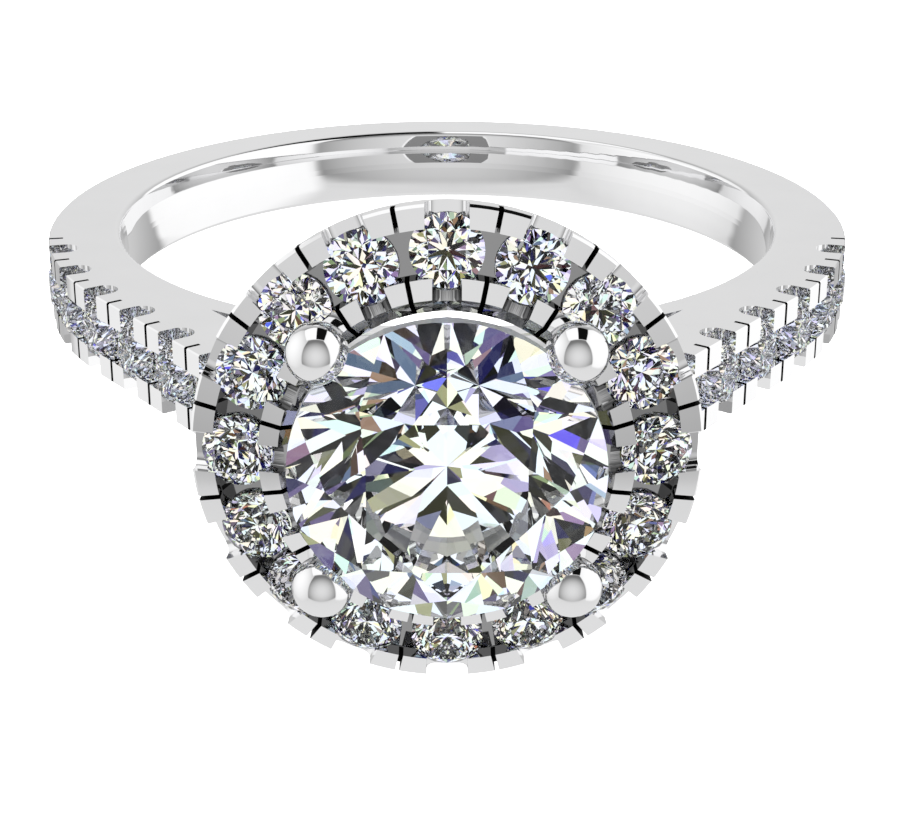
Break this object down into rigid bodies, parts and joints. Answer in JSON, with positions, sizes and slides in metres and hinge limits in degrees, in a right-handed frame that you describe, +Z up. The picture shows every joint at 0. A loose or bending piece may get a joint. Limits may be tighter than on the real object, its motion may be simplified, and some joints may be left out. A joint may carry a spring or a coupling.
{
  "type": "halo ring",
  "caption": "Finger ring of white metal with a round brilliant in claws, a ring of small brilliants round it, and brilliants set into each shoulder.",
  "frame": {"origin": "middle of the ring's box at its base, where the ring lies on its side", "axes": "+X across the finger, -Y towards the head with the centre stone, +Z up, close to the axis of the finger hole"},
  "size_m": [0.0202, 0.0254, 0.0103],
  "materials": {
    "metal": "polished",
    "stone": "polished"
  },
  "bodies": {
    "root": {"setting": "metal", "centre_stone": "stone", "halo_stone_01": "stone", "halo_stone_02": "stone", "halo_stone_03": "stone", "halo_stone_04": "stone", "halo_stone_05": "stone", "halo_stone_06": "stone", "halo_stone_07": "stone", "halo_stone_08": "stone", "halo_stone_09": "stone", "halo_stone_10": "stone", "halo_stone_11": "stone", "halo_stone_12": "stone", "halo_stone_13": "stone", "halo_stone_14": "stone", "halo_stone_15": "stone", "halo_stone_16": "stone", "left_stone_1": "stone", "left_stone_2": "stone", "left_stone_3": "stone", "left_stone_4": "stone", "left_stone_5": "stone", "left_stone_6": "stone", "right_stone_1": "stone", "right_stone_2": "stone", "right_stone_3": "stone", "right_stone_4": "stone", "right_stone_5": "stone", "right_stone_6": "stone"}
  },
  "joints": []
}
